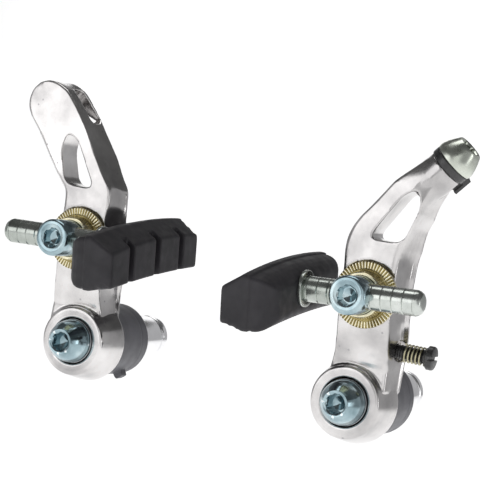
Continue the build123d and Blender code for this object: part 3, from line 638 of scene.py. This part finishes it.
# ---------------------------------------------------------------- clamps, posts and shoes
def build_clamp(side, prefix):
    """The eye bolt, its serrated and plain washers, its nut and the bevel washer on the arm."""
    place, body = at_eye(side), prefix + "clamp"
    front, depth = -46.1, 2.5
    head = [(-14.6, 0.0), (-14.6, 2.4), (-15.2, 3.0), (-32.4, 3.0), (-32.4, 4.9), (-32.7, 5.25),
            (-45.3, 5.25), (-45.6, 5.15), (-46.0, 4.8), (front, 4.55), (front, 3.3)] + socket(front, depth)
    bolt = turned(prefix + "eye_bolt_skin", "blue", head, 96, 0.0, socket_shape(front, depth), sharp=28)
    cut(bolt, [bore(-9, 9, POST_HOLE_R, 64, along_x(POST_Y, 0))])
    resharpen(bolt, 28)
    put(bolt, place, body, "blue_zinc", prefix + "eye_bolt")

    def teeth(angle, y, r):
        if y < -32.1 and r > 6.9:
            phase = (angle * TEETH / (2 * math.pi)) % 1.0
            return y + 0.55 * (1 - min(1.0, abs(phase - 0.5) * 3.2)), r
        return y, r

    washer = [(-31.1, 3.1), (-31.1, 8.85), (-31.25, 9.0), (-32.1, 9.0), (-32.25, 8.9), (-32.25, 7.2),
              (-32.0, 7.0), (-31.9, 6.8), (-32.0, 6.7), (-34.0, 6.45), (-36.3, 6.1), (-36.6, 5.9),
              (-36.6, 5.4), (-32.1, 5.35), (-32.1, 3.1)]
    ring = turned(prefix + "serrated_skin", "yellow", washer, 480, 0.0, teeth, closed=True, sharp=25)
    cut(ring, [bore(-10, 10, POST_HOLE_R, 64, along_x(POST_Y, 0))])
    resharpen(ring, 25)
    put(ring, place, body, "yellow_zinc", prefix + "serrated_washer")
    rear = [(-22.0, 3.05), (-22.0, 6.1), (-20.8, 6.1), (-20.8, 3.05)]
    put(turned(prefix + "rear_washer_skin", "yellow", rear, 96, 0.2, closed=True), place,
        body, "yellow_zinc", prefix + "rear_washer")

    def nut(angle, y, r):
        if r < 4.0:
            return y, r
        chamfered = 5.0 + (5.77 - 5.0) * 0.55
        return y, min(hexagon(10.0, angle), chamfered if y in (-20.8, -15.8) else 9.0)

    flats = [(-20.8, 3.05), (-20.8, 5.3), (-20.2, 5.8), (-16.4, 5.8), (-15.8, 5.3), (-15.8, 3.4),
             (-16.1, 3.05)]
    put(turned(prefix + "nut_skin", "blue", flats, 96, 0.0, nut, closed=True, sharp=25), place,
        body, "blue_zinc", prefix + "clamp_nut")
    bevel = [(-30.3, 3.15), (-30.3, 8.6), (-31.1, 8.3), (-31.1, 3.15)]
    lift = Matrix.Translation(Vector((side * EYE_X, 0, EYE_Z)) * MM)
    put(turned(prefix + "bevel_skin", "yellow", bevel, 96, 0.2, closed=True), lift,
        prefix + "arm", "yellow_zinc", prefix + "bevel_washer")


def build_post(side, prefix):
    """The shoe's post, with engraved rings and a domed outer end."""
    inner, outer = PLATE_X - EYE_X + PAD_SHIFT[side], POST_END - EYE_X
    profile = [(inner, 0.0), (inner, POST_R)]
    for at in (-16.0 + 3.0 * i for i in range(12)):
        profile += [(at - 0.22, POST_R), (at - 0.12, 3.4), (at, 3.3), (at + 0.12, 3.4), (at + 0.22, POST_R)]
    profile += [(outer - 2.2, POST_R), (outer - 1.3, 3.3), (outer - 0.5, 2.75), (outer - 0.1, 2.1),
                (outer, 1.6), (outer, 0.0)]
    post = turned(prefix + "post_skin", "post", profile, 96, 0.0, sharp=40)
    put(post, at_eye(side) @ along_x(POST_Y, 0, side), prefix + "post", "post_zinc", prefix + "shoe_post")


def pad_loop(x, top, bottom, front_inset, rear_inset, ease, count=140):
    """One closed section of the shoe at x, arched above and below, with rounded corners."""
    front, rear = PAD_ENDS[0] + front_inset, PAD_ENDS[1] - rear_inset
    steps = 30
    line = []
    for height, drop, order in ((top, PAD_ARCH, range(steps + 1)), (bottom, PAD_HOLLOW, range(steps, -1, -1))):
        for k in order:
            u = 2 * k / steps - 1
            line.append((front + (rear - front) * k / steps, height - drop * u * u))
    smooth = [Vector(p) for p in eased(line, ease, 6, loop=True)]
    closed = smooth + smooth[:1]
    runs = [0.0]
    for a, b in zip(closed, closed[1:]):
        runs.append(runs[-1] + (b - a).length)
    out, j = [], 0
    for i in range(count):
        want = runs[-1] * i / count
        while runs[j + 1] < want:
            j += 1
        share = (want - runs[j]) / max(runs[j + 1] - runs[j], 1e-9)
        p = closed[j].lerp(closed[j + 1], share)
        out.append((x, p[0], p[1]))
    return out


def build_shoe(side, prefix):
    """The rubber shoe and its collar; sections are (|x|, top, bottom, front inset, rear inset, corner)."""
    sections = [(17.5, 2.3, -7.1, 1.6, 1.7, 1.5), (17.6, 2.7, -7.4, 1.1, 1.3, 1.6),
                (17.9, 3.1, -7.6, 0.8, 1.0, 1.8), (20.5, 4.7, -8.1, 0.5, 0.6, 2.2),
                (22.8, 6.1, -8.6, 0.2, 0.2, 2.6), (24.0, 6.9, -8.9, 0.0, 0.0, 2.8),
                (25.6, 6.8, -8.9, 0.0, 0.0, 3.0), (25.9, 6.7, -8.9, 0.05, 0.05, 3.0),
                (26.05, 6.3, -8.6, 0.4, 0.4, 3.2), (27.0, 6.3, -8.8, 0.5, 0.7, 3.8),
                (28.4, 6.0, -8.7, 0.8, 1.3, 4.4), (29.8, 5.4, -8.2, 1.5, 2.3, 5.0),
                (31.0, 4.6, -7.4, 2.6, 3.6, 5.2), (31.8, 3.8, -6.6, 3.8, 5.0, 5.0),
                (32.3, 2.9, -5.7, 5.2, 6.4, 4.3), (PAD_BACK, 2.3, -5.1, 6.0, 7.2, 3.7)]
    bm = bmesh.new()
    add_rings(bm, [pad_loop(side * (x - EYE_X), *rest) for x, *rest in sections])
    shoe = finish_mesh(bm, prefix + "shoe_skin", None)
    cutters = []
    for y in PAD_SLOTS:
        bm = bmesh.new()
        before, after, high = y - PAD_SLOT_HALF, y + PAD_SLOT_HALF, 15
        box = [(before, -high), (after, -high), (after, high), (before, high)]
        near, far = side * (14.0 - EYE_X), side * (20.6 - EYE_X)
        add_rings(bm, [[(x, yy, z) for yy, z in box] for x in (near, far)])
        cutters.append(finish_mesh(bm, "cutter", None))
    cutters.append(bore(PLATE_X - EYE_X, 36 - EYE_X, POST_HOLE_R, 48, along_x(POST_Y, 0, side)))
    cut(shoe, cutters)
    soften(shoe, VOXEL, 3, "rubber")
    put(shoe, at_shoe(side), prefix + "shoe", "shoe_rubber", prefix + "pad")
    near, far, rim = PAD_BACK - EYE_X, 33.5 - EYE_X, 5.0
    collar = [(near, POST_HOLE_R), (near, rim), (far, rim), (far, POST_HOLE_R)]
    made = turned(prefix + "collar_skin", "post", collar, 96, 0.25, closed=True)
    put(made, at_shoe(side) @ along_x(POST_Y, 0, side), prefix + "shoe", "post_zinc", prefix + "pad_collar")


# ---------------------------------------------------------------- anchor bolt and tension screw
def build_anchor():
    """The cable-anchor bolt with its hexagon socket, and its washer with the claw."""
    place = at_anchor()
    crown = [(-8.0, 0.0), (-8.0, 3.0), (2.2, 3.0), (2.2, 5.6), (2.4, 5.85), (3.3, 5.9), (3.9, 5.8),
             (5.2, 5.35), (6.6, 4.7), (7.6, 4.15), (8.15, 3.85), (8.35, 3.65), (8.4, 3.35)]
    flat = SOCKET_FLATS / 2
    well = [(8.15, 2.83), (7.8, flat), (5.4, flat), (5.4, 1.9), (4.5, 0.35), (4.4, 0.0)]

    def wall(angle, y, r):
        return (y, hexagon(SOCKET_FLATS, angle)) if r == flat else (y, r)

    bolt = turned("right_anchor_bolt_skin", "nickel", crown + well, 96, 0.0, wall, sharp=28)
    put(bolt, place, "right_anchor_bolt", "anchor_steel", "right_anchor_bolt")
    washer = [(0.0, 3.1), (0.0, 5.75), (2.2, 5.75), (2.2, 3.1)]
    pieces = [turned("right_anchor_washer_skin", None, washer, 96, 0.3, closed=True)]
    outer, half = 7.0, 1.8
    for inner, low, high in ((5.3, 0.1, 2.1), (6.0, -3.2, 0.6)):
        outline = eased([(inner, -half), (outer, -half), (outer, half), (inner, half)], 0.3, 3, True)
        pieces.append(prism(outline, low, high))
        pieces[-1].data.transform(Matrix.Rotation(math.radians(CLAW_ANGLE), 4, "Y"))
    made = join(pieces)
    soften(made, CLAW_VOXEL, 2, "black")
    put(made, place, "right_anchor_clamp", "black_steel", "right_anchor_washer")


def build_screw():
    """The threaded tension screw with its slotted head, its washer and its small spring."""
    place = along_x(SCREW_Y, SCREW_Z)
    tip, root, crest = 48.34, 1.6, 1.93
    profile = [(tip, 0.0), (tip + 0.1, 0.7), (tip + 0.4, 1.3), (tip + 0.9, 1.75)]
    at = tip + 1.1
    while at < 61.4:
        profile += [(at, root), (at + 0.18, crest), (at + 0.34, crest), (at + 0.52, root)]
        at += 0.7
    profile += [(62.2, root), (62.2, 3.0), (62.45, 3.3), (63.7, 3.3), (64.05, 3.1), (64.2, 2.7), (64.2, 0.0)]
    screw = turned("right_tension_screw_skin", "black", profile, 64, 0.0, sharp=40)
    bm = bmesh.new()
    box = [(63.2, -0.55), (65.0, -0.55), (65.0, 0.55), (63.2, 0.55)]
    add_rings(bm, [[(x, y, z) for y, z in box] for x in (-5, 5)])
    cut(screw, [finish_mesh(bm, "cutter", None)])
    resharpen(screw, 35)
    put(screw, place, "right_tension_screw", "black_steel", "right_tension_screw")
    washer = [(61.7, 2.0), (61.7, 2.63), (62.16, 2.63), (62.16, 2.0)]
    put(turned("right_screw_washer_skin", "black", washer, 64, 0.1, closed=True), place,
        "right_screw_carrier", "black_steel", "right_screw_washer")
    coil = helix_tube("right_screw_spring_skin", "olive", 2.35, 0.28, 55.48, 5.94, 5.5, 1)
    put(coil, place, "right_screw_carrier", "olive_zinc", "right_screw_spring")


for side, prefix in SIDES:
    build_arm(side, prefix)
    build_pivot(side, prefix)
    build_cover(side, prefix)
    legs = ((0, -13.6), (1, -0.2))
    coil = helix_tube(prefix + "return_spring_skin", "wire", 7.1, 0.7, -11.2, 7.875, 4.5, side, legs)
    put(coil, at_pivot(side), "frame_side", "spring_steel", prefix + "return_spring")
    build_clamp(side, prefix)
    build_post(side, prefix)
    build_shoe(side, prefix)
build_anchor()
build_screw()
for name in ("left_pad_insert", "right_pad_insert"):
    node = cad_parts[name]
    node.data.materials.clear()
    node.data.materials.append(M["plate"])


# ---------------------------------------------------------------- floor, light and camera
def add_area(name, location, size, power):
    """A rectangular white light turned to the object's middle."""
    light = bpy.data.lights.new(name, "AREA")
    light.shape = "RECTANGLE"
    light.size, light.size_y = size
    light.energy = power
    made = bpy.data.objects.new(name, light)
    bpy.context.scene.collection.objects.link(made)
    made.location = location
    made.rotation_euler = (Vector((0, 0, 0.03)) - Vector(location)).to_track_quat("-Z", "Y").to_euler()


def build_floor():
    """A round pale floor whose rim curves up into a backdrop on every side."""
    flat, bend, count = 1.4, 1.5, 96
    rim = [(0.02, 0.0), (0.6, 0.0), (flat, 0.0)]
    for k in range(1, 11):
        t = math.radians(9 * k)
        rim.append((flat + bend * math.sin(t), bend - bend * math.cos(t)))
    bm = bmesh.new()
    turns = [2 * math.pi * i / count for i in range(count)]
    add_rings(bm, [[(r * math.cos(a), r * math.sin(a), z) for a in turns] for r, z in rim], capped=False)
    bm.faces.new(list(bm.verts)[:count])
    mesh = bpy.data.meshes.new("floor")
    bmesh.ops.recalc_face_normals(bm, faces=bm.faces)
    bm.to_mesh(mesh)
    bm.free()
    mesh.shade_smooth()
    made = bpy.data.objects.new("floor", mesh)
    bpy.context.scene.collection.objects.link(made)
    made.location = (0, 0, -0.10)
    material, nt, shader = tree("pale_floor")
    # paler straight behind the object than to the sides, so that the metal has something darker to reflect
    coords = nt.nodes.new("ShaderNodeTexCoord")
    across = nt.nodes.new("ShaderNodeVectorMath")
    across.operation = "DOT_PRODUCT"
    across.inputs[1].default_value = (0.91, 0.41, 0.0)
    aside = nt.nodes.new("ShaderNodeMath")
    aside.operation = "ABSOLUTE"
    nt.links.new(coords.outputs["Object"], across.inputs[0])
    nt.links.new(across.outputs["Value"], aside.inputs[0])
    white, grey = (0.92, 0.92, 0.92), (0.36, 0.36, 0.365)
    tone = ramp(nt, spread(nt, aside.outputs[0], 0.0, 1.0, 0.40, 0.95), [(0.0, white), (1.0, grey)])
    nt.links.new(tone, shader.inputs["Base Color"])
    nt.links.new(tone, shader.inputs["Emission Color"])
    shader.inputs["Roughness"].default_value = 0.95
    shader.inputs["Specular IOR Level"].default_value = 0.1
    shader.inputs["Emission Strength"].default_value = 0.88
    mesh.materials.append(material)


build_floor()
world = bpy.data.worlds.new("studio")
bpy.context.scene.world = world
world.use_nodes = True
world.node_tree.nodes["Background"].inputs["Color"].default_value = (1, 1, 1, 1)
world.node_tree.nodes["Background"].inputs["Strength"].default_value = 0.12
add_area("key", (-0.58, -1.15, 0.08), (0.8, 0.95), 2.9)
add_area("fill", (1.10, -0.14, 0.02), (0.16, 0.5), 0.7)
add_area("top", (-0.1, 0.1, 1.00), (0.7, 0.5), 2.0)

camera_data = bpy.data.cameras.new("camera")
camera = bpy.data.objects.new("camera", camera_data)
bpy.context.scene.collection.objects.link(camera)
camera_data.sensor_width = 36.0
camera_data.lens = 115.79
camera_data.clip_start = 0.01
camera_data.clip_end = 20
right = Vector((0.8963, 0.4125, 0.1630))
up = Vector((-0.1692, -0.0216, 0.9853))
back = right.cross(up).normalized()
up = back.cross(right).normalized()
turn = Matrix((right.normalized(), up, back)).transposed().to_4x4()
camera.matrix_world = Matrix.Translation((0.19266, -0.43808, 0.05864)) @ turn
bpy.context.scene.camera = camera
bpy.context.scene.view_settings.view_transform = "Standard"

bpy.context.view_layer.update()
